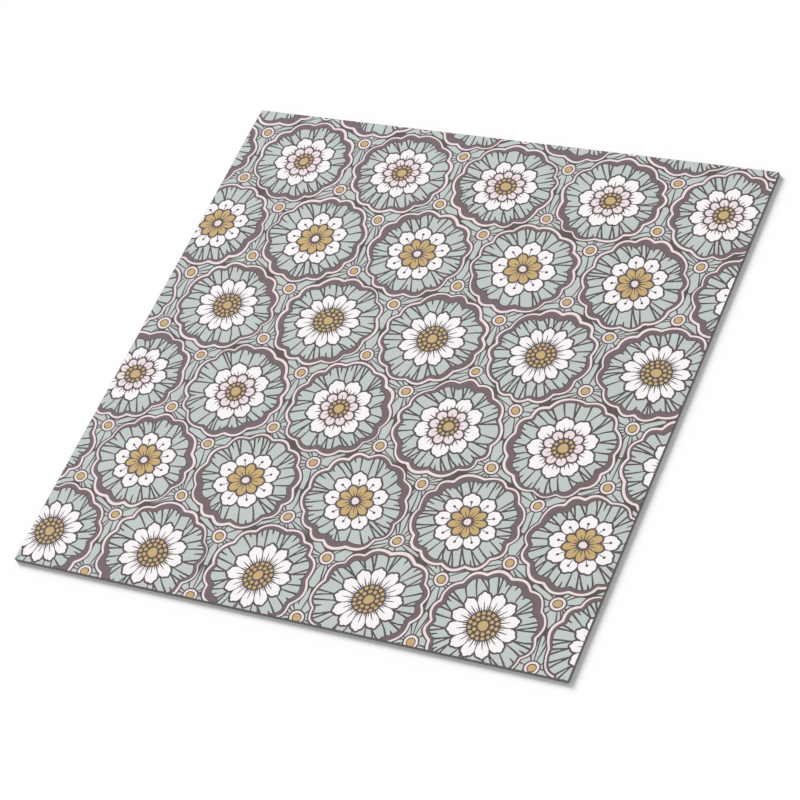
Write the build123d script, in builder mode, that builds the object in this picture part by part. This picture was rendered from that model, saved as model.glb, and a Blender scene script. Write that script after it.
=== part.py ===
from build123d import *
import os

# Self-adhesive decorative tile: one square of printed vinyl sheet, with the paper that covers
# its adhesive until it is laid. It lies face up. The origin is the middle of the paper's
# underside, +Z is out of the print, and X and Y run along the edges. Lengths are in mm.

# The square, which the tile and its paper share because one die cuts both
side = 300.0
corner_radius = 0.6

# The sheet: printed and coated vinyl with its adhesive, laminated into one piece
tile_thickness = 2.0
arris_radius = 0.2

# The backing paper, peeled off when the tile is laid
liner_thickness = 0.12

os.makedirs("parts", exist_ok=True)


# Release liner: siliconised paper, flat on the floor, covering the whole underside
with BuildPart() as release_liner:
    with BuildSketch(Plane.XY):
        RectangleRounded(side, side, corner_radius)
    extrude(amount=liner_thickness)

release_liner.part.label = "release_liner"
export_step(release_liner.part, "parts/release_liner.step")


# Tile: stands on the liner, with the printed edge rounded over by the die that cuts it
with BuildPart() as tile:
    with BuildSketch(Plane.XY.offset(liner_thickness)):
        RectangleRounded(side, side, corner_radius)
    extrude(amount=tile_thickness)
    printed_face = tile.faces().sort_by(Axis.Z)[-1]
    fillet(printed_face.edges(), radius=arris_radius)

tile.part.label = "tile"
export_step(tile.part, "parts/tile.step")
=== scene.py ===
import math
import random
from collections import namedtuple

import bmesh
import bpy
import numpy as np
from mathutils import Matrix, Vector, geometry


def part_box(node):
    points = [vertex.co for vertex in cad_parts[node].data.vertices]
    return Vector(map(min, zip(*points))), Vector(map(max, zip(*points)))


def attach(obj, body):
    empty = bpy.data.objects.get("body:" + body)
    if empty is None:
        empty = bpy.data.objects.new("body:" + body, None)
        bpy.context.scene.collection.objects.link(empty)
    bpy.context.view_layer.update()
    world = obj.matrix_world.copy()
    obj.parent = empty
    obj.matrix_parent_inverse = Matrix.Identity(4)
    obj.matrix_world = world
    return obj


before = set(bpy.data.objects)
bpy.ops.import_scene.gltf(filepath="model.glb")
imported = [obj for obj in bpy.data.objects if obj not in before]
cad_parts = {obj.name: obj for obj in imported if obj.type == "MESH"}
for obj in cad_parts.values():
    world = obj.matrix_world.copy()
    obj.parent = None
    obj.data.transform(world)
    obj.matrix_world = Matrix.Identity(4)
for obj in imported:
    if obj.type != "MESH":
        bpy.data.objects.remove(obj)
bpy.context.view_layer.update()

TAU = 2 * math.pi
MM = 0.001

tile_low, tile_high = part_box("tile")
floor_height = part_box("release_liner")[0].z

# Colours as they look in the photograph, sRGB from 0 to 255
SAGE = (191, 200, 196)
PINK = (237, 221, 224)
WHITE = (248, 243, 244)
OCHRE = (199, 169, 117)
MAUVE = (113, 97, 100)
LINE = (88, 78, 78)
VINYL_EDGE = (128, 128, 127)
PAPER = (226, 217, 196)


def linear(colour):
    """sRGB from 0 to 255 as the linear colour with alpha that shader sockets hold."""
    parts = [c / 255 for c in colour]
    return [p / 12.92 if p <= 0.04045 else ((p + 0.055) / 1.055) ** 2.4 for p in parts] + [1.0]


def shade(colour, factor):
    """A linear colour made darker or lighter."""
    return [min(1.0, c * factor) for c in colour[:3]] + [1.0]


# Materials

MATT = 0.15                     # specular level of the matt print and vinyl


class Nodes:
    """A short way to write a material's node tree."""

    def __init__(self, name):
        self.material = bpy.data.materials.new(name)
        self.material.use_nodes = True
        self.tree = self.material.node_tree
        self.shader = self.tree.nodes["Principled BSDF"]
        self.position = self.add("ShaderNodeTexCoord").outputs["Object"]

    def fill(self, socket, value):
        """Links the value to the socket if it is an output of another node, and otherwise sets it there."""
        if isinstance(value, bpy.types.NodeSocket):
            self.tree.links.new(value, socket)
        else:
            socket.default_value = value

    def add(self, kind, inputs=None, **settings):
        """A new node. inputs gives what goes into its sockets, by their name or number."""
        node = self.tree.nodes.new(kind)
        for key, value in settings.items():
            setattr(node, key, value)
        for key, value in (inputs or {}).items():
            self.fill(node.inputs[key], value)
        return node

    def noise(self, size, detail=3.0, roughness=0.55, stretch=(1, 1, 1)):
        """Noise whose blotches are about size across, in metres, and longer along an axis by its stretch."""
        scale = tuple(1 / s for s in stretch)
        place = self.add("ShaderNodeMapping", {"Vector": self.position, "Scale": scale}).outputs["Vector"]
        inputs = {"Vector": place, "Scale": 1 / size, "Detail": detail, "Roughness": roughness}
        return self.add("ShaderNodeTexNoise", inputs).outputs["Fac"]

    def spread(self, value, low, high):
        """Maps a noise value, mostly 0.3 to 0.7, to the range from low to high."""
        inputs = {"Value": value, "From Min": 0.3, "From Max": 0.7, "To Min": low, "To Max": high}
        return self.add("ShaderNodeMapRange", inputs).outputs["Result"]

    def blend(self, factor, first, second):
        """A mix of two colours, which are the mix node's sockets 6 and 7, and its output 2."""
        return self.add("ShaderNodeMix", {"Factor": factor, 6: first, 7: second}, data_type="RGBA").outputs[2]

    def mottled(self, noise, colour, darkest, lightest):
        """The colour made darker and lighter by the noise, between two factors."""
        return self.blend(self.spread(noise, 0, 1), shade(colour, darkest), shade(colour, lightest))

    def bump(self, height, distance, strength, normal=None):
        """A normal that shows the height as relief, on top of another one if that is given."""
        inputs = {"Height": height, "Distance": distance, "Strength": strength}
        if normal is not None:
            inputs["Normal"] = normal
        return self.add("ShaderNodeBump", inputs).outputs["Normal"]

    def set(self, **inputs):
        """Fills the shader's sockets, named with _ for a space, and returns the material."""
        for key, value in inputs.items():
            self.fill(self.shader.inputs[key.replace("_", " ")], value)
        return self.material


def laminate(nodes):
    """Roughness and normal of the matt wear film: a fine pebble, with a slow waviness under it."""
    pebble = nodes.noise(0.9 * MM, detail=2.0)
    wave = nodes.noise(14 * MM, detail=1.0)
    wavy = nodes.bump(wave, distance=0.05 * MM, strength=0.4)
    roughness = nodes.spread(nodes.noise(2.5 * MM), 0.6, 0.75)
    return roughness, nodes.bump(pebble, distance=0.012 * MM, strength=0.6, normal=wavy)


def ink_material(ink):
    """A printed ink under the wear film, a little uneven in tone."""
    nodes = Nodes(ink.name)
    base = linear(ink.colour)
    tone = nodes.mottled(nodes.noise(38 * MM), base, 1 - ink.mottle, 1 + ink.mottle)
    grain = nodes.mottled(nodes.noise(0.5 * MM, detail=2.0), base, 1 - ink.mottle, 1)
    roughness, normal = laminate(nodes)
    return nodes.set(
        Base_Color=nodes.blend(0.5, tone, grain), Roughness=roughness, Normal=normal, Specular_IOR_Level=MATT)


def vinyl_material():
    """The sheet: line colour on its face, and grey filled vinyl on its cut edges, with the die's fine
    draw lines. The one gives way to the other where the face's edge rounds over."""
    nodes = Nodes("vinyl_sheet")
    normal = nodes.add("ShaderNodeTexCoord").outputs["Normal"]
    upward = nodes.add("ShaderNodeSeparateXYZ", {"Vector": normal}).outputs["Z"]
    face = nodes.add("ShaderNodeMapRange", {"Value": upward, "From Min": 0.35, "From Max": 0.55})
    cut = nodes.mottled(nodes.noise(0.35 * MM, detail=4.0), linear(VINYL_EDGE), 0.82, 1.15)
    printed = nodes.mottled(nodes.noise(6 * MM), linear(LINE), 0.93, 1.07)
    streaks = nodes.noise(0.4 * MM, detail=2.0, stretch=(1, 1, 20))
    return nodes.set(
        Base_Color=nodes.blend(face.outputs["Result"], cut, printed),
        Roughness=nodes.spread(nodes.noise(1.2 * MM), 0.6, 0.8),
        Normal=nodes.bump(streaks, distance=0.03 * MM, strength=0.7),
        Specular_IOR_Level=MATT)


def paper_material():
    """Release paper: cream, cloudy and fibrous, streaked along the web that it was calendered on, with
    the low gloss of its silicone coat."""
    nodes = Nodes("release_paper")
    base = linear(PAPER)
    fibres = nodes.noise(0.7 * MM, detail=6.0, roughness=0.65)
    clouds = nodes.noise(7 * MM, detail=4.0, roughness=0.6)
    streaks = nodes.noise(2.2 * MM, detail=3.0, stretch=(1, 28, 1))
    fine = nodes.mottled(fibres, base, 0.88, 1.05)
    tone = nodes.mottled(clouds, base, 0.92, 1.04)
    web = nodes.mottled(streaks, base, 0.93, 1.03)
    streaky = nodes.bump(streaks, distance=0.02 * MM, strength=0.3)
    return nodes.set(
        Base_Color=nodes.blend(0.35, nodes.blend(0.5, fine, tone), web),
        Roughness=nodes.spread(fibres, 0.38, 0.55),
        Normal=nodes.bump(fibres, distance=0.02 * MM, strength=0.5, normal=streaky))


# The print's layout, in millimetres from the tile's middle

SIDE_MM = (tile_high.x - tile_low.x) / MM
INK_HEIGHT_MM = 0.02
ARRIS_MM = 0.2                  # the printed face ends where the sheet's edge rounds over
COLUMNS = 5                     # blossoms across the tile
ROWS = 6                        # rows up the tile, each second one shifted by half a blossom
PITCH_X = SIDE_MM / COLUMNS
PITCH_Y = SIDE_MM / ROWS
ORIGIN = (11.0, 19.0)           # shifts the layout, so that the tile's edges cut blossoms freely
ROW_SEEDS = 1000                # each row's random seeds start at a multiple of this
GUSSET_SEEDS = 77000            # and the gussets' seeds start from here

# Rims and buttons
RIM_RADIUS = 28.7
SCALLOPS = 13
SCALLOP_DEPTH = 2.1
PINK_WIDTH = 1.1
MAUVE_WIDTH = 2.0
MAUVE_LEAST = 0.8
BUTTON_RADIUS = 1.9             # in the middle of a gusset
BUTTON_ROOM = 1.0               # a gusset with less room than this round its button is left out
COLLAR_GAP = 0.5                # from a button to its collar
COLLAR_REACH = 1.6              # from a button to its collar's outer edge
COLLAR_MARGIN = 0.5             # a collar ends at least this far inside its gusset

# Drawn lines
FINE_LINE = 0.75
PETAL_LINE = 0.9                # between two petals, at their foot
CONTOUR_LINE = 1.0              # round a flower or a row of petals
THINNING = 0.6                  # the share of its width that a line between petals, or a notch, loses
BRUSH_EDGE = 0.4                # line colour between the brush line and the ground inside it
NEIGHBOUR_GAP = 0.8             # from a blossom's rim to the gusset beside it

# How far the hand strays
SCALLOP_WANDER = 0.09           # an angle
RIM_WANDER = 0.3
PINK_WANDER = 0.4
MAUVE_WANDER = 1.7
PETAL_WANDER = 0.3
BLOB_WANDER = 0.07              # a share of the blob's radius
HATCH_WANDER = 0.2              # a share of the lines' spacing

# What is too small to print
NARROWEST = 0.9                 # the gussets' ends are rounded off where they get narrower than this
SHALLOWEST = 0.4                # the hatched grounds end where they get thinner than this
SPECK = 0.4                     # square millimetres: smaller shapes are left out
SLIVER = 1e-6                   # square millimetres: smaller faces are left out

# Steps of angle along an edge. They divide the circle, and the rims' bands and the grounds inside
# them share one, so that shapes on both sides of an edge have the same points.
RIM_STEP = TAU / 180
PETAL_STEP = TAU / 210
GUSSET_STEP = TAU / 100
COLLAR_STEP = TAU / 40

# A way to hatch a ground:
# lines is how many go round it, where a pair counts as one
# width is a line's width at the outer edge
# lean is the most that a line leans, as a share of the lines' spacing
# open is the share of a pair's distance apart that is left at the inner edge
# step is the step of angle along the edges
# parts is how many parts a line is drawn in
Hatching = namedtuple("Hatching", "lines width lean open step parts")
GROUND = Hatching(lines=24, width=1.1, lean=0.3, open=0.2, step=RIM_STEP, parts=2)
GUSSET = Hatching(lines=9, width=0.9, lean=0.0, open=1.0, step=GUSSET_STEP, parts=3)
PAIRS = 0.5                     # the share of the lines that are pairs
PAIR_APART = (0.34, 0.46)       # how far apart a pair is at the outer edge, as shares of the spacing
INNER_WIDTH = 0.28              # half a line's width at the inner edge, as a share of its width
WIDENING = 0.22                 # what that half gains on the way out, as a share of the same width
SHORT_LINES = 0.6               # the share of the places with room for a short line that have one


class Ink:
    """One colour of the print, with the closed outlines drawn in it as lists of (x, y) in millimetres.
    mottle is how much darker and lighter its tone gets."""

    def __init__(self, name, colour, mottle):
        self.name = name
        self.colour = colour
        self.mottle = mottle
        self.outlines = []


sage = Ink("print_sage", SAGE, 0.045)
pink = Ink("print_pink", PINK, 0.02)
white = Ink("print_white", WHITE, 0.012)
ochre = Ink("print_ochre", OCHRE, 0.05)
mauve = Ink("print_mauve", MAUVE, 0.04)


class Edge:
    """A closed line round a centre, held as its radius at even steps of angle."""

    STEPS = 900
    ANGLES = np.arange(STEPS) * TAU / STEPS

    def __init__(self, radii):
        self.radii = np.broadcast_to(np.asarray(radii, float), Edge.ANGLES.shape)

    def __call__(self, angle):
        place = (angle % TAU) / TAU * Edge.STEPS
        i = int(place)
        low = self.radii[i % Edge.STEPS]
        high = self.radii[(i + 1) % Edge.STEPS]
        return float(low + (high - low) * (place - i))

    def grown(self, distance):
        """The line a true distance further out, or further in if distance is negative."""
        sign = 1 if distance > 0 else -1
        found = self.radii * sign
        best = np.full(Edge.STEPS, -np.inf)
        reach = int(abs(distance) / (self.radii.min() * TAU / Edge.STEPS)) + 1
        for shift in range(-reach, reach + 1):
            other = np.roll(found, shift)
            across = shift * TAU / Edge.STEPS * abs(other)
            inside = np.maximum(distance ** 2 - across ** 2, 0)
            value = np.where(abs(across) <= abs(distance), other + np.sqrt(inside), -np.inf)
            best = np.maximum(best, value)
        return Edge(best * sign)


def wander(rng, amplitude, first=1, last=5):
    """A smooth random swing round the circle, for a line drawn by hand, of waves that go round it from
    the first to the last number of times."""
    swing = np.zeros(Edge.STEPS)
    for k in range(first, last + 1):
        size = rng.uniform(0.5, 1) * amplitude / math.sqrt(last - first + 1)
        swing += size * np.sin(k * Edge.ANGLES + rng.uniform(0, TAU))
    return swing


def lobes(count, phase, power=1.0):
    """From 0 at the notches to 1 at the tips of so many round lobes, blunter with a lower power."""
    return np.abs(np.cos(count / 2 * (Edge.ANGLES - phase))) ** power


def at(centre, radius, angle):
    return (centre[0] + radius * math.cos(angle), centre[1] + radius * math.sin(angle))


def area(points):
    """The area inside a closed line, positive if its points run anticlockwise."""
    return sum(a[0] * b[1] - b[0] * a[1] for a, b in zip(points, points[1:] + points[:1])) / 2


# Shapes of the print

NOTCH_SHARES = (0.0, 0.35, 0.7)     # where the points lie along a notch's sides, as shares of its length
NOTCH_ROOM = 1.2                    # edge points keep so many half widths from a notch's middle
STEM = 0.22                         # half the width of a stamen's stem
DOT_POINTS = 9
END_SHARE = 0.05                    # edge points keep this share of a step from a shape's corner
MEETING_SHARES = 24                 # places along two lines where their meeting is looked for
MEETING_WIDTH = 0.16                # what is narrower between two lines counts as closed
LINE_MARGIN = 0.1                   # edge points keep this far from the lines beside them
CROSSING_MARGIN = 0.03              # two lines that come nearer than this count as crossing


def notch(angle, foot, tip, half_width, bend=0.0):
    """A drawn line that leads into a shape from its edge, thinning to its tip.
    Returns its angle, its half width at the foot, and its points out and back as (radius, offset)."""
    side = [(foot + (tip - foot) * s, half_width * (1 - THINNING * s), bend * s) for s in NOTCH_SHARES]
    path = [(r, w + b) for r, w, b in side] + [(tip, bend)] + [(r, b - w) for r, w, b in side[::-1]]
    return angle, half_width, path


def stamen(angle, foot, tip, head):
    """A drawn stem that ends in a round dot of radius head, as a notch."""
    middle = tip - head
    widest = math.pi - math.asin(STEM / head)
    turns = [widest * (1 - 2 * i / (DOT_POINTS - 1)) for i in range(DOT_POINTS)]
    dot = [(middle + head * math.cos(turn), head * math.sin(turn)) for turn in turns]
    return angle, STEM, [(foot, STEM)] + dot + [(foot, -STEM)]


def follow(edge, start, end, step, notches=()):
    """Radii and angles along an edge at the multiples of step between two angles, led in and out of
    each notch that fits between them."""
    way = 1 if end > start else -1
    places = []
    here = start
    for angle, foot, path in sorted(notches, key=lambda n: way * n[0]):
        reach = NOTCH_ROOM * foot / edge(angle)
        if way * (angle - here) < reach or way * (end - angle) < reach:
            continue
        places += follow(edge, here, angle - way * reach, step)
        places += [(radius, angle - way * offset / radius) for radius, offset in path]
        here = angle + way * reach
    near = way * here / step
    far = way * end / step
    for i in range(math.floor(near + END_SHARE) + 1, math.ceil(far - END_SHARE)):
        places.append((edge(way * i * step), way * i * step))
    return places


def sector(ink, centre, inner, outer, start, end, half_width, step, parts,
           inner_notches=(), outer_notches=()):
    """The shape between two edges and two drawn lines, which each take half_width, a function of the
    share of the way out, on this side. start and end give a line's angle at the inner and the outer
    edge, step is the edges' step of angle, and parts the parts that a line is drawn in. Where the
    lines meet before the inner edge, the shape ends in a point there."""

    def side(line, share, way):
        """The place on a line's side, as radius and angle, at a share of the way out."""
        angle = line[0] + (line[1] - line[0]) * share
        radius = inner(angle) + (outer(angle) - inner(angle)) * share
        return radius, angle + way * half_width(share) / radius

    def room(share):
        """The angle between the two lines."""
        return side(end, share, -1)[1] - side(start, share, 1)[1]

    def past(line, place):
        """How far a place lies past a line, as a length."""
        radius, angle = place
        return (angle - np.interp(radius, *zip(*line))) * radius

    def between(places):
        """The places that are well between the two lines."""
        return [p for p in places if past(near, p) > LINE_MARGIN and past(far, p) < -LINE_MARGIN]

    tries = [i / MEETING_SHARES for i in range(MEETING_SHARES)]
    low = next((share for share in tries if room(share) * inner(start[0]) > MEETING_WIDTH), None)
    if low is None or room(1) <= 0:
        return
    shares = [low + (1 - low) * i / parts for i in range(parts + 1)]
    near = [side(start, share, 1) for share in shares]
    far = [side(end, share, -1) for share in shares]
    if min(past(near, place) for place in far) < CROSSING_MARGIN:
        return
    places = near + between(follow(outer, near[-1][1], far[-1][1], step, outer_notches)) + far[::-1]
    if low == 0:
        places += between(follow(inner, far[0][1], near[0][1], step, inner_notches))
    points = [at(centre, radius, angle) for radius, angle in places]
    if area(points) > SPECK:
        ink.outlines.append(points)


def ring(ink, centre, inner, outer, step):
    """A band right round, as quadrilaterals side by side."""
    count = round(TAU / step)
    for i in range(count):
        a = i * step
        b = (i + 1) % count * step
        corners = ((inner(a), a), (outer(a), a), (outer(b), b), (inner(b), b))
        ink.outlines.append([at(centre, radius, angle) for radius, angle in corners])


def blob(rng, ink, centre, radius, points=20):
    """A round shape drawn by hand."""
    edge = Edge(radius + wander(rng, radius * BLOB_WANDER, first=2, last=3))
    angles = [TAU * i / points for i in range(points)]
    ink.outlines.append([at(centre, edge(angle), angle) for angle in angles])


# Hatched grounds

def hatch_lines(rng, hatching):
    """Lines all the way round, a little uneven, as their angles at the inner and the outer edge."""
    spacing = TAU / hatching.lines
    lines = []
    for i in range(hatching.lines):
        outer = spacing * (i + rng.uniform(-HATCH_WANDER, HATCH_WANDER))
        inner = outer + spacing * rng.uniform(-hatching.lean, hatching.lean)
        lines.append((inner, outer))
        if rng.random() < PAIRS:
            apart = spacing * rng.uniform(*PAIR_APART)
            lines.append((inner + hatching.open * apart, outer + apart))
    return lines


def short_lines(rng, inner, outer, start, end, half_width):
    """A list of one notch from the outer edge, about halfway between two lines, or of none. The ground
    has to be wide and deep enough for it there, and its edge about level."""
    least_width = 4.2
    least_depth = 3.0
    least_level = 0.8           # the least share of the middle's radius that the edge has at both lines
    middle = start[1] + (end[1] - start[1]) * rng.uniform(0.42, 0.58)
    foot = outer(middle)
    depth = foot - inner(middle)
    wide = (end[1] - start[1]) * foot > least_width
    level = min(outer(start[1]), outer(end[1])) > least_level * foot
    if rng.random() < SHORT_LINES and wide and level and depth > least_depth:
        return [notch(middle, foot, foot - depth * rng.uniform(0.25, 0.5), half_width)]
    return []


def hatched(rng, centre, inner, outer, hatching):
    """A sage ground cut by fine lines that thin towards the middle, and by a few short ones."""
    places = 25                 # between two lines, where the ground's depth is looked at

    def half_width(share):
        return hatching.width * (INNER_WIDTH + WIDENING * share)

    lines = hatch_lines(rng, hatching)
    for i, start in enumerate(lines):
        end = lines[(i + 1) % len(lines)]
        if end[1] <= start[1]:
            end = (end[0] + TAU, end[1] + TAU)
        deep = [a for a in np.linspace(start[1], end[1], places) if outer(a) - inner(a) > SHALLOWEST]
        if not deep:
            continue
        if deep[0] != start[1]:
            start = (deep[0], deep[0])
        if deep[-1] != end[1]:
            end = (deep[-1], deep[-1])
        notches = short_lines(rng, inner, outer, start, end, hatching.width / 2)
        sector(sage, centre, inner, outer, start, end, half_width, hatching.step, hatching.parts,
               outer_notches=notches)


# Blossoms

def rim(rng, centre):
    """The scalloped pink band and the brush line inside it. Returns the band's outer edge and the
    ground's, which lies just inside the brush line."""
    phase = rng.uniform(0, TAU) + wander(rng, SCALLOP_WANDER)
    scallops = RIM_RADIUS - SCALLOP_DEPTH * (1 - lobes(SCALLOPS, phase))
    outer = Edge(scallops + wander(rng, RIM_WANDER))
    middle = Edge(outer.grown(-PINK_WIDTH).radii - wander(rng, PINK_WANDER, last=4))
    brush_width = np.maximum(MAUVE_WIDTH + wander(rng, MAUVE_WANDER, last=3), MAUVE_LEAST)
    inner = Edge(middle.radii - brush_width)
    ring(pink, centre, middle, outer, RIM_STEP)
    ring(mauve, centre, inner, middle, RIM_STEP)
    return outer, inner.grown(-BRUSH_EDGE)


def ruffle(rng, foot, tip, petals, phase):
    """The outline of a flower whose petals part at foot and end at tip, in ruffled round ends."""
    frill = 0.9
    petal = lobes(petals, phase, power=0.6)
    frills = frill * lobes(3 * petals, phase, power=0.8) * petal
    return Edge(foot + (tip - foot - frill) * petal + frills + wander(rng, PETAL_WANDER, first=2, last=6))


def petal_row(ink, centre, inner, outer, petals, phase, line, marks):
    """Petals side by side, parted by a line of the given width that thins towards their tips.
    marks gives the notches drawn into a petal, from its middle angle and its step of angle."""
    step = TAU / petals
    for i in range(petals):
        middle = phase + i * step
        near = middle - step / 2
        far = middle + step / 2
        sector(ink, centre, inner, outer, (near, near), (far, far),
               lambda share: line / 2 * (1 - THINNING * share), PETAL_STEP, parts=4,
               inner_notches=marks(middle, step))


def veins(rng, inner, middle, step, shortest, longest):
    """A long line up a petal's middle and a short one on each side of it."""
    foot = inner(middle)
    tip = foot + rng.uniform(shortest, longest)
    marks = [notch(middle, foot, tip, half_width=0.36, bend=rng.uniform(-0.3, 0.3))]
    for way in (-1, 1):
        angle = middle + way * step * rng.uniform(0.25, 0.29)
        foot = inner(angle)
        tip = foot + shortest * rng.uniform(0.4, 0.6)
        marks.append(notch(angle, foot, tip, half_width=0.3, bend=way * 0.2))
    return marks


def seeds(rng, centre, radius, count, size, phase):
    """A ring of round ochre seeds."""
    for i in range(count):
        blob(rng, ochre, at(centre, radius, phase + TAU * i / count), size, points=9)


def daisy(rng, centre, petals, phase):
    """Rings of ochre seeds round a button, inside long white petals. Returns the flower's outline."""
    blob(rng, ochre, centre, radius=2.5)
    seeds(rng, centre, radius=4.3, count=10, size=0.95, phase=phase)
    seeds(rng, centre, radius=6.6, count=16, size=0.9, phase=phase)
    head = Edge(8.1)
    outline = ruffle(rng, foot=12.2, tip=17.1, petals=petals, phase=phase)
    petal_row(white, centre, head, outline, petals, phase, PETAL_LINE,
              lambda middle, step: veins(rng, head, middle, step, shortest=4.4, longest=5.6))
    return outline


def marigold(rng, centre, petals, phase):
    """Rounded ochre petals, each with a stripe, over white ones with a stamen on each. Returns the
    flower's outline."""
    parting = 5.2               # where the ochre petals part
    length = 4.3                # from there to their tips
    blob(rng, pink, centre, radius=1.9)
    core = Edge(3.1)
    tips = Edge(parting + length * lobes(petals, phase, power=0.55))
    petal_row(ochre, centre, core, tips, petals, phase, FINE_LINE,
              lambda middle, step: [notch(middle, core(middle), tip=rng.uniform(6.0, 7.4), half_width=0.3)])
    back = tips.grown(CONTOUR_LINE)
    shifted = phase + TAU / petals / 2
    outline = ruffle(rng, foot=11.8, tip=17.0, petals=petals, phase=shifted)
    petal_row(white, centre, back, outline, petals, shifted, PETAL_LINE,
              lambda middle, step: [stamen(middle, back(middle), tip=rng.uniform(12.8, 13.8), head=0.75)])
    return outline


def peony(rng, centre, petals, phase):
    """A ring of ochre seeds round a button, a row of short pink petals and a row of white ones.
    Returns the flower's outline."""
    parting = 6.9               # where the pink petals part
    length = 3.2                # from there to their tips
    blob(rng, ochre, centre, radius=2.6)
    seeds(rng, centre, radius=4.4, count=11, size=0.85, phase=phase)
    core = Edge(5.9)
    tips = Edge(parting + length * lobes(petals, phase, power=0.6))
    petal_row(pink, centre, core, tips, petals, phase, 1.5 * FINE_LINE,
              lambda middle, step: [notch(middle, core(middle), tip=rng.uniform(7.6, 8.6), half_width=0.28)])
    back = tips.grown(CONTOUR_LINE)
    shifted = phase + TAU / petals / 2
    outline = ruffle(rng, foot=12.3, tip=17.3, petals=petals, phase=shifted)
    petal_row(white, centre, back, outline, petals, shifted, PETAL_LINE,
              lambda middle, step: veins(rng, back, middle, step, shortest=3.0, longest=4.2))
    return outline


# The kinds of blossom, row by row, each with the numbers of petals that it may have
KINDS = ((daisy, (12, 13)), (marigold, (8, 9)), (peony, (9, 10)))


def blossom(rng, centre, flower, petal_counts):
    """A flower on its hatched ground, inside its rim. Returns the rim's outer edge."""
    petals = rng.choice(petal_counts)
    phase = rng.uniform(0, TAU)
    outer, ground_edge = rim(rng, centre)
    outline = flower(rng, centre, petals, phase)
    hatched(rng, centre, outline.grown(CONTOUR_LINE), ground_edge, GROUND)
    return outer


# Gussets

def space_between(centre, neighbours):
    """How far the space round a centre reaches each way: up to a gap from each neighbour's rim, and up
    to the straight lines between the neighbours' middles."""
    farthest = 18.0
    stride = 0.5
    halvings = 8
    headings = np.stack([np.cos(Edge.ANGLES), np.sin(Edge.ANGLES)], 1)
    corners = [np.array(middle) for middle, _ in neighbours]

    def free(radii):
        """Whether the space holds the point at each angle's radius."""
        points = np.array(centre) + headings * radii[:, None]
        inside = np.ones(Edge.STEPS, bool)
        for middle, edge in neighbours:
            away = points - np.array(middle)
            angles = np.arctan2(away[:, 1], away[:, 0]) % TAU
            rim_radii = np.interp(angles, Edge.ANGLES, edge.radii, period=TAU)
            inside &= np.hypot(away[:, 0], away[:, 1]) > rim_radii + NEIGHBOUR_GAP
        for a, b in zip(corners, corners[1:] + corners[:1]):
            normal = np.array((a[1] - b[1], b[0] - a[0])) / np.hypot(*(b - a))
            normal *= np.sign(normal @ (np.array(centre) - a))
            inside &= (points - a) @ normal > FINE_LINE / 2
        return inside

    low = np.zeros(Edge.STEPS)
    open_so_far = np.ones(Edge.STEPS, bool)
    for radius in np.arange(stride, farthest, stride):
        open_so_far &= free(np.full(Edge.STEPS, radius))
        low = np.where(open_so_far, radius, low)
    high = low + stride
    for _ in range(halvings):
        middle = (low + high) / 2
        clear = free(middle)
        low = np.where(clear, middle, low)
        high = np.where(clear, high, middle)
    return Edge(low).grown(-NARROWEST / 2).grown(NARROWEST / 2)


def gusset(rng, centre, neighbours):
    """The three-sided space between blossoms: a hatched ground round an ochre button with a pink collar."""
    space = space_between(centre, neighbours)
    if space.radii.min() < BUTTON_RADIUS + BUTTON_ROOM:
        return
    blob(rng, ochre, centre, BUTTON_RADIUS)
    collar = Edge(np.minimum(BUTTON_RADIUS + COLLAR_REACH, space.radii - COLLAR_MARGIN))
    ring(pink, centre, Edge(BUTTON_RADIUS + COLLAR_GAP), collar, COLLAR_STEP)
    hatched(rng, centre, Edge(collar.radii + FINE_LINE), space, GUSSET)


def layout():
    """Draws every blossom and gusset that reaches the tile, the same at opposite edges so that the
    print runs on from tile to tile."""
    rims = {}
    for row in range(-1, ROWS + 2):
        for column in range(-1, COLUMNS + 2):
            x = ORIGIN[0] - SIDE_MM / 2 + PITCH_X * (column + 0.5 * (row % 2))
            y = ORIGIN[1] - SIDE_MM / 2 + PITCH_Y * row
            rng = random.Random(ROW_SEEDS * (row % ROWS) + column % COLUMNS)
            flower, petal_counts = KINDS[row % len(KINDS)]
            rims[row, column] = ((x, y), blossom(rng, (x, y), flower, petal_counts))
    for row, column in rims:
        for other_row in (row - 1, row + 1):
            trio = [(row, column), (row, column + 1), (other_row, column + row % 2)]
            if any(place not in rims for place in trio):
                continue
            neighbours = [rims[place] for place in trio]
            middle = tuple(sum(centre[axis] for centre, _ in neighbours) / 3 for axis in (0, 1))
            seed = GUSSET_SEEDS + ROW_SEEDS * (row % ROWS) + 10 * (column % COLUMNS) + (other_row > row)
            gusset(random.Random(seed), middle, neighbours)


# From outlines to meshes

# Waves that move every line of the print a little, slow ones and then quick ones:
# fewest and most are how many times one repeats up the tile, and most is the limit across it too
# amplitude is the most that one moves a line
# number is how many there are
Waves = namedtuple("Waves", "fewest most amplitude number")
SLOW = Waves(fewest=1, most=4, amplitude=0.42, number=10)
QUICK = Waves(fewest=9, most=20, amplitude=0.075, number=16)
WARP_SEED = 5


def warp_terms():
    """Each wave's repeats along x and y, its phase, its amplitude and the heading that it moves lines in."""
    rng = random.Random(WARP_SEED)
    terms = []
    for waves in (SLOW, QUICK):
        for _ in range(waves.number):
            repeats = (rng.randint(-waves.most, waves.most), rng.randint(waves.fewest, waves.most))
            phase = rng.uniform(0, TAU)
            amplitude = rng.uniform(0.5, 1) * waves.amplitude
            terms.append((repeats, phase, amplitude, rng.uniform(0, TAU)))
    return terms


WARP_TERMS = warp_terms()


def warp(points):
    """The points, as an array, moved by the waves, so that no line stays ruler-true."""
    moved = np.array(points)
    for repeats, phase, amplitude, heading in WARP_TERMS:
        swing = amplitude * np.sin(TAU / SIDE_MM * (points @ np.array(repeats)) + phase)
        moved += swing[:, None] * (math.cos(heading), math.sin(heading))
    return moved


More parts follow.
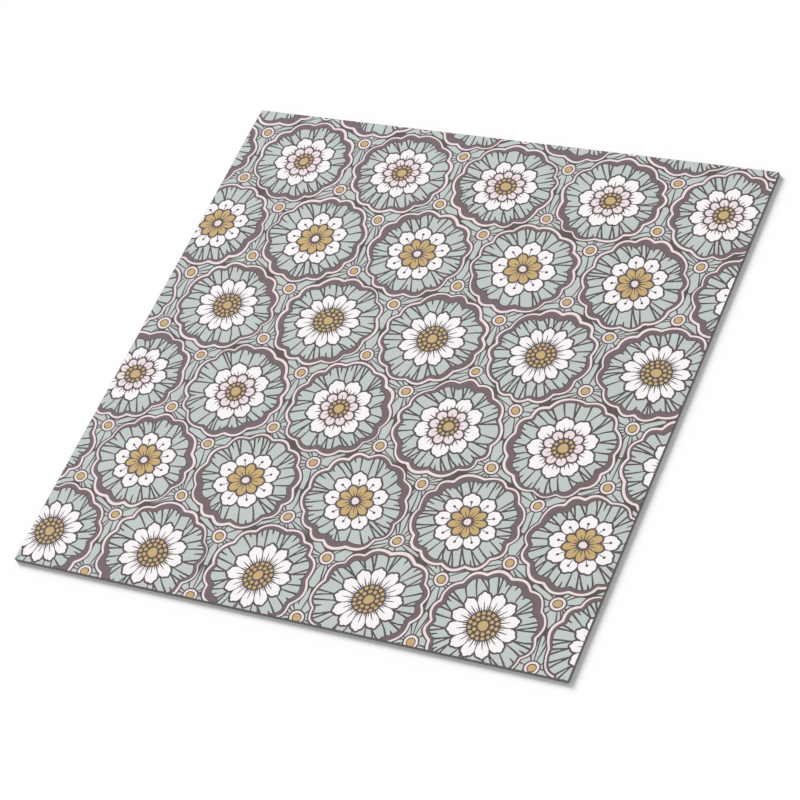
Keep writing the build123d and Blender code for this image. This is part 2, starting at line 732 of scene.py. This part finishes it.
def clip(polygon, half):
    """A convex polygon cut to the square from -half to half."""
    for axis in (0, 1):
        for sign in (1, -1):
            kept = []
            for a, b in zip(polygon, polygon[1:] + polygon[:1]):
                inside_a = sign * a[axis] <= half
                inside_b = sign * b[axis] <= half
                if inside_a:
                    kept.append(a)
                if inside_a != inside_b:
                    share = (sign * half - a[axis]) / (b[axis] - a[axis])
                    kept.append((a[0] + share * (b[0] - a[0]), a[1] + share * (b[1] - a[1])))
            polygon = kept
            if not polygon:
                return []
    return polygon


def face_polygons(ink):
    """The ink's outlines as anticlockwise convex polygons inside the printed square, with their points
    rounded alike, so that polygons that meet share them."""
    digits = 4
    half = SIDE_MM / 2 - ARRIS_MM
    faces = []
    for outline in ink.outlines:
        points = warp(np.array(outline)).round(digits)
        if (np.abs(points).max(1) > half).all():
            continue
        flat = [Vector((x, y, 0)) for x, y in points]
        for corners in geometry.tessellate_polygon([flat]):
            keys = []
            for x, y in clip([tuple(points[i]) for i in corners], half):
                key = (round(float(x), digits), round(float(y), digits))
                if key not in keys:
                    keys.append(key)
            if area(keys) > SLIVER:
                faces.append(keys)
    return faces


def plates(ink):
    """A mesh of the ink as thin closed plates on the tile's face."""
    foot = tile_high.z
    top = foot + INK_HEIGHT_MM * MM
    mesh = bmesh.new()
    places = {}

    def vertex(point, height):
        """The mesh's vertex at a point, made where there is none yet."""
        if (point, height) not in places:
            places[point, height] = mesh.verts.new((point[0] * MM, point[1] * MM, height))
        return places[point, height]

    edges = set()
    for keys in face_polygons(ink):
        mesh.faces.new([vertex(k, top) for k in keys])
        mesh.faces.new([vertex(k, foot) for k in reversed(keys)])
        edges.update(zip(keys, keys[1:] + keys[:1]))
    for a, b in edges:
        if (b, a) not in edges:
            mesh.faces.new([vertex(a, foot), vertex(b, foot), vertex(b, top), vertex(a, top)])
    data = bpy.data.meshes.new(ink.name)
    mesh.to_mesh(data)
    mesh.free()
    return data


def lay_map(data):
    """Gives the mesh a map that is the tile's face as seen from above."""
    flat_map = data.uv_layers.new(name="OFBake")
    for corner in data.loops:
        x, y, _ = data.vertices[corner.vertex_index].co
        flat_map.data[corner.index].uv = (x / (SIDE_MM * MM) + 0.5, y / (SIDE_MM * MM) + 0.5)


def add_object(name, data):
    """A new object in the scene."""
    thing = bpy.data.objects.new(name, data)
    bpy.context.scene.collection.objects.link(thing)
    return thing


def print_piece(ink):
    """The ink's piece of the print, with its material."""
    data = plates(ink)
    lay_map(data)
    data.materials.append(ink_material(ink))
    piece = add_object(ink.name, data)
    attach(piece, "root")


def dress(node, material):
    """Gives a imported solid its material."""
    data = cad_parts[node].data
    data.materials.clear()
    data.materials.append(material)


# The studio

LENS_MM = 117.15
AZIMUTH = math.radians(43.11)
ELEVATION = math.radians(48.97)
ROLL = math.radians(-25.41)
DISTANCE = 1.2764
AIM = Vector((0.0084, -0.0188, 0.0))

SUN_AZIMUTH = math.radians(235)
SUN_ELEVATION = math.radians(27)
SUN_STRENGTH = 3.8
SUN_WIDTH = math.radians(24)
LIGHT_ROUND = 0.45              # strength of the light from all round

FLOOR_SIZE = 6.0
FLOOR_GAP = 0.02 * MM


def direction(azimuth, elevation):
    """Where a camera or light stands, seen from the tile. Azimuth 0 is on its -Y side, and a quarter
    turn is on its +X side."""
    return Vector((
        math.sin(azimuth) * math.cos(elevation),
        -math.cos(azimuth) * math.cos(elevation),
        math.sin(elevation)))


def make_camera():
    """A long lens at the photograph's viewing angle, rolled as the photograph is."""
    data = bpy.data.cameras.new("camera")
    data.lens = LENS_MM
    camera = add_object("camera", data)
    back = direction(AZIMUTH, ELEVATION)
    turn = back.to_track_quat("Z", "Y").to_matrix().to_4x4()
    camera.matrix_world = Matrix.Translation(AIM + back * DISTANCE) @ turn @ Matrix.Rotation(ROLL, 4, "Z")
    bpy.context.scene.camera = camera


def make_sun():
    """A wide soft lamp, low behind the tile as the camera sees it, so that the shadow falls forwards."""
    data = bpy.data.lights.new("key", "SUN")
    data.energy = SUN_STRENGTH
    data.angle = SUN_WIDTH
    sun = add_object("key", data)
    sun.rotation_mode = "QUATERNION"
    sun.rotation_quaternion = direction(SUN_AZIMUTH, SUN_ELEVATION).to_track_quat("Z", "Y")


def make_world():
    """White light from all round, with a full white backdrop for what the camera sees, by itself, in
    reflections or through something."""
    world = bpy.data.worlds.new("studio")
    bpy.context.scene.world = world
    world.use_nodes = True
    tree = world.node_tree
    tree.nodes.clear()
    add = tree.nodes.new
    link = tree.links.new
    light = add("ShaderNodeBackground")
    backdrop = add("ShaderNodeBackground")
    for node, strength in ((light, LIGHT_ROUND), (backdrop, 1.0)):
        node.inputs["Color"].default_value = (1, 1, 1, 1)
        node.inputs["Strength"].default_value = strength
    path = add("ShaderNodeLightPath")
    seen = path.outputs["Is Camera Ray"]
    for ray in ("Is Glossy Ray", "Is Transmission Ray"):
        either = add("ShaderNodeMath")
        either.operation = "MAXIMUM"
        link(seen, either.inputs[0])
        link(path.outputs[ray], either.inputs[1])
        seen = either.outputs[0]
    mix = add("ShaderNodeMixShader")
    link(seen, mix.inputs["Fac"])
    link(light.outputs[0], mix.inputs[1])
    link(backdrop.outputs[0], mix.inputs[2])
    link(mix.outputs[0], add("ShaderNodeOutputWorld").inputs["Surface"])


def make_floor():
    """A wide white floor, just under the release paper."""
    half = FLOOR_SIZE / 2
    corners = [(-half, -half, 0), (half, -half, 0), (half, half, 0), (-half, half, 0)]
    data = bpy.data.meshes.new("floor")
    data.from_pydata(corners, [], [(0, 1, 2, 3)])
    data.materials.append(Nodes("floor").set(Base_Color=(1, 1, 1, 1), Roughness=1.0, Specular_IOR_Level=0.0))
    floor = add_object("floor", data)
    floor.location.z = floor_height - FLOOR_GAP


layout()
for ink in (sage, pink, white, ochre, mauve):
    print_piece(ink)
dress("tile", vinyl_material())
dress("release_liner", paper_material())
make_camera()
make_sun()
make_world()
make_floor()
bpy.context.scene.view_settings.view_transform = "Standard"
